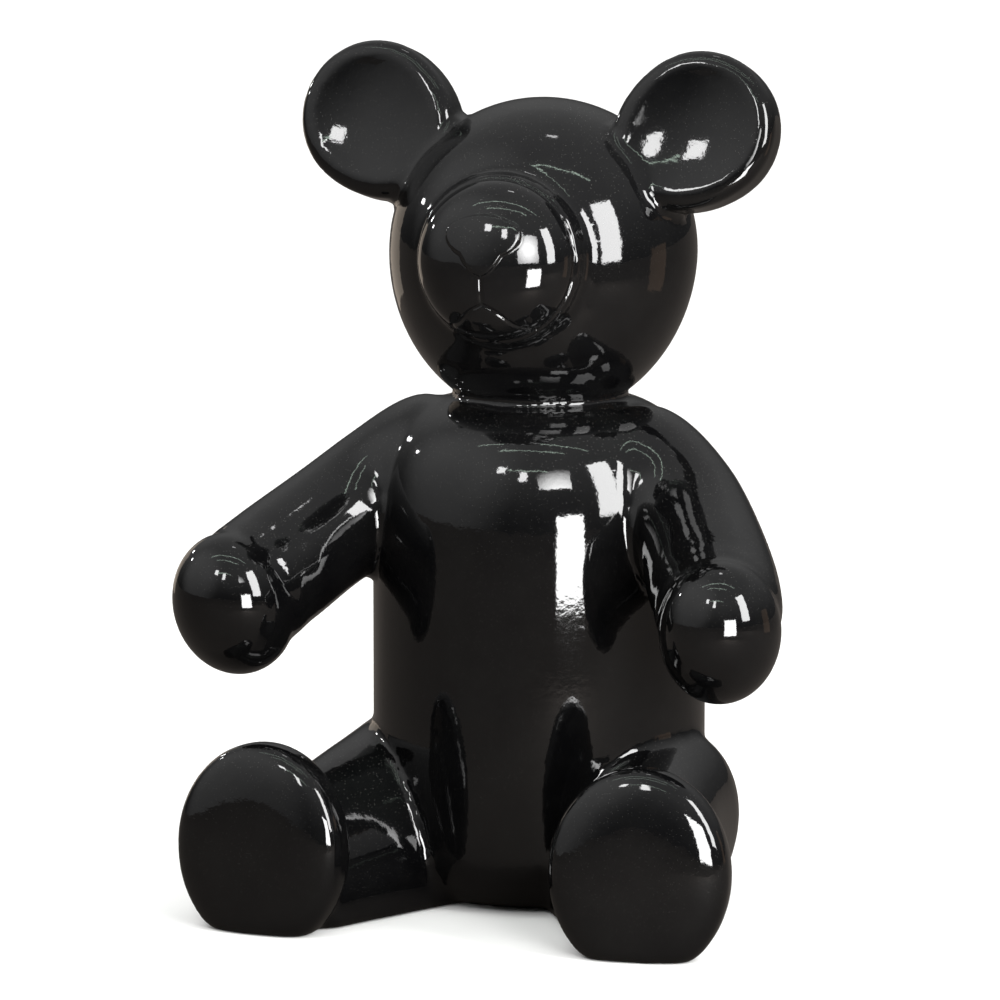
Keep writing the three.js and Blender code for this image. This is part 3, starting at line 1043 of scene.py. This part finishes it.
class RESINBEAR_OT_studio(bpy.types.Operator):
    """Lays the pale floor, hangs the soft lights and sets up the camera"""
    bl_idname = "resinbear.studio"
    bl_label = "Studio"

    def execute(self, context):
        studio = settings("studio")
        clear_selection()
        bpy.ops.mesh.primitive_plane_add(size=40, location=(0, 0, 0))
        floor = context.object
        floor.name = "studio_floor"
        paint = bpy.data.materials.new("Pale studio floor")
        paint.use_nodes = True
        tree = paint.node_tree
        shader = tree.nodes["Principled BSDF"]
        shader.inputs["Roughness"].default_value = 0.9
        shader.inputs["Specular IOR Level"].default_value = 0.1
        seen = add(tree, "ShaderNodeLightPath")
        shade = add(tree, "ShaderNodeMix", data_type="RGBA")
        # Painted shade: every ray but the camera's sees the floor in the darker mirrored colour,
        # standing in for its shadow and the dim room that the lacquer reflects
        shade.inputs["A"].default_value = (*studio.mirrored_floor_shade, 1)
        shade.inputs["B"].default_value = (*studio.floor, 1)
        tree.links.new(seen.outputs["Is Camera Ray"], shade.inputs["Factor"])
        tree.links.new(shade.outputs["Result"], shader.inputs["Base Color"])
        floor.data.materials.append(paint)
        softbox("window_low", 38, -4.4, 1.0, 18, 18, studio.window)
        face = muzzle_place().translation
        softbox("window_face", 33, 16, 0.45, 26, 28, studio.window * 1.2, aim=face, grid=24)
        softbox("window_side", 68, 22, 2.2, 16, 36, studio.window * 0.7)
        softbox("window_front", 5, 32, 2.4, 5, 9, studio.window * 0.7)
        softbox("window_back", -13, 36, 2.4, 6, 6, studio.window * 0.7)
        softbox("skylight", 178, 80, 2.1, 5, 2.5, studio.window * 0.3)
        softbox("warm_board", 110, -2, 1.5, 16, 20, 0.42, BOARD_TINT)
        softbox("warm_wall", -128, 2, 1.7, 24, 24, 0.6, WALL_TINT)
        softbox("tube_low", 8, 38, 3.2, 26, 0.6, studio.tubes, TUBE_TINT)
        softbox("tube_middle", 8, 62, 2.3, 38, 0.6, studio.tubes, TUBE_TINT)
        softbox("tube_high", 8, 73, 2.2, 62, 0.7, studio.tubes, TUBE_TINT)
        softbox("lamp", -96, 23, 1.6, 2.2, 2.2, studio.lamp)
        softbox("small_lamp", -117, 20, 1.9, 2.4, 2.4, studio.lamp)
        bpy.ops.object.light_add(type="SUN", location=(0, 0, 3))
        fill = context.object
        fill.name = "fill"
        fill.data.energy = studio.fill
        fill.data.angle = math.radians(120)
        fill.visible_glossy = False
        context.scene.world = soft_room(studio)
        context.scene.view_settings.view_transform = "Standard"
        a, e = studio.camera_turn, studio.camera_rise
        away = Vector((math.sin(a) * math.cos(e), -math.cos(a) * math.cos(e), math.sin(e)))
        across = Vector((math.cos(a), math.sin(a), 0))
        aim = across * studio.camera_side + Vector((0, 0, studio.camera_height))
        bpy.ops.object.camera_add(location=aim + away * studio.camera_reach)
        camera = context.object
        camera.name = "studio_camera"
        camera.rotation_euler = away.to_track_quat("Z", "Y").to_euler()
        camera.data.sensor_fit = "HORIZONTAL"
        camera.data.sensor_width = SENSOR
        camera.data.lens = SENSOR * studio.camera_reach / studio.frame_width
        camera.data.clip_end = 200
        context.scene.camera = camera
        return {"FINISHED"}


class RESINBEAR_PT_panel(bpy.types.Panel):
    bl_label = "Resin Bear"
    bl_idname = "RESINBEAR_PT_panel"
    bl_space_type = "VIEW_3D"
    bl_region_type = "UI"
    bl_category = "Resin Bear"

    def draw(self, context):
        for operator in OPERATORS:
            self.layout.operator(operator.bl_idname)
        for name in GROUPS:
            box = self.layout.box()
            box.label(text=name.capitalize())
            group = settings(name)
            for label in group.bl_rna.properties.keys():
                if label not in {"rna_type", "name"}:
                    box.prop(group, label)


OPERATORS = (
    RESINBEAR_OT_trunk,
    RESINBEAR_OT_muzzle,
    RESINBEAR_OT_ears,
    RESINBEAR_OT_arms,
    RESINBEAR_OT_legs,
    RESINBEAR_OT_casting,
    RESINBEAR_OT_face,
    RESINBEAR_OT_lacquer,
    RESINBEAR_OT_studio,
)
GROUPS = {
    "trunk": BearTrunkSizes,
    "muzzle": BearMuzzleSizes,
    "ear": BearEarSizes,
    "arm": BearArmSizes,
    "leg": BearLegSizes,
    "surface": BearSurfaceSizes,
    "studio": BearStudioSettings,
}


def register():
    for kind in (*GROUPS.values(), *OPERATORS, RESINBEAR_PT_panel):
        bpy.utils.register_class(kind)
    for name, group in GROUPS.items():
        setattr(bpy.types.Scene, "resin_bear_" + name, PointerProperty(type=group))


def unregister():
    for name in GROUPS:
        delattr(bpy.types.Scene, "resin_bear_" + name)
    for kind in (RESINBEAR_PT_panel, *reversed(OPERATORS), *reversed(GROUPS.values())):
        bpy.utils.unregister_class(kind)


def main():
    register()
    for operator in OPERATORS:
        group, name = operator.bl_idname.split(".")
        getattr(getattr(bpy.ops, group), name)()


if __name__ == "__main__":
    main()
